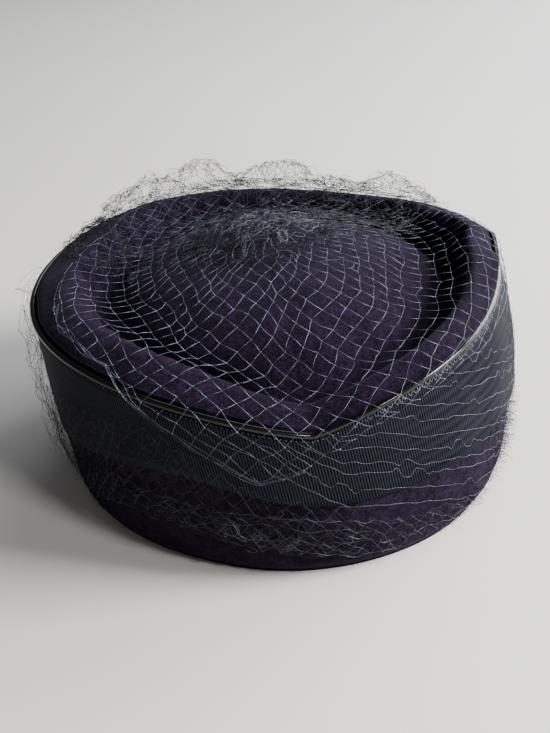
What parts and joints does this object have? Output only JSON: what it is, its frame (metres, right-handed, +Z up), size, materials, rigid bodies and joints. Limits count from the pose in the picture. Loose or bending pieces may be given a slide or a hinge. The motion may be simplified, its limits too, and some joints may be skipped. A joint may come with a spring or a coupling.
{
  "type": "pillbox hat",
  "caption": "Dark felt pillbox hat with a rolled rim, a domed top, a ribbed ribbon band, a glossy piping and a gathered net veil.",
  "frame": {"origin": "middle of the hat's box, on the plane of the hem it stands on", "axes": "+Z up through the crown, -Y to the front of the hat, where its rim dips, +X to the wearer's left"},
  "size_m": [0.218, 0.2192, 0.1062],
  "materials": {
    "navy_felt": "matt wool felt",
    "dark_ribbon": "ribbed, low sheen",
    "satin_piping": "glossy",
    "net_thread": "fine thread"
  },
  "bodies": {
    "root": {"felt_body": "navy_felt", "ribbon_band": "dark_ribbon", "piping": "satin_piping", "net_veil": "net_thread"}
  },
  "joints": []
}
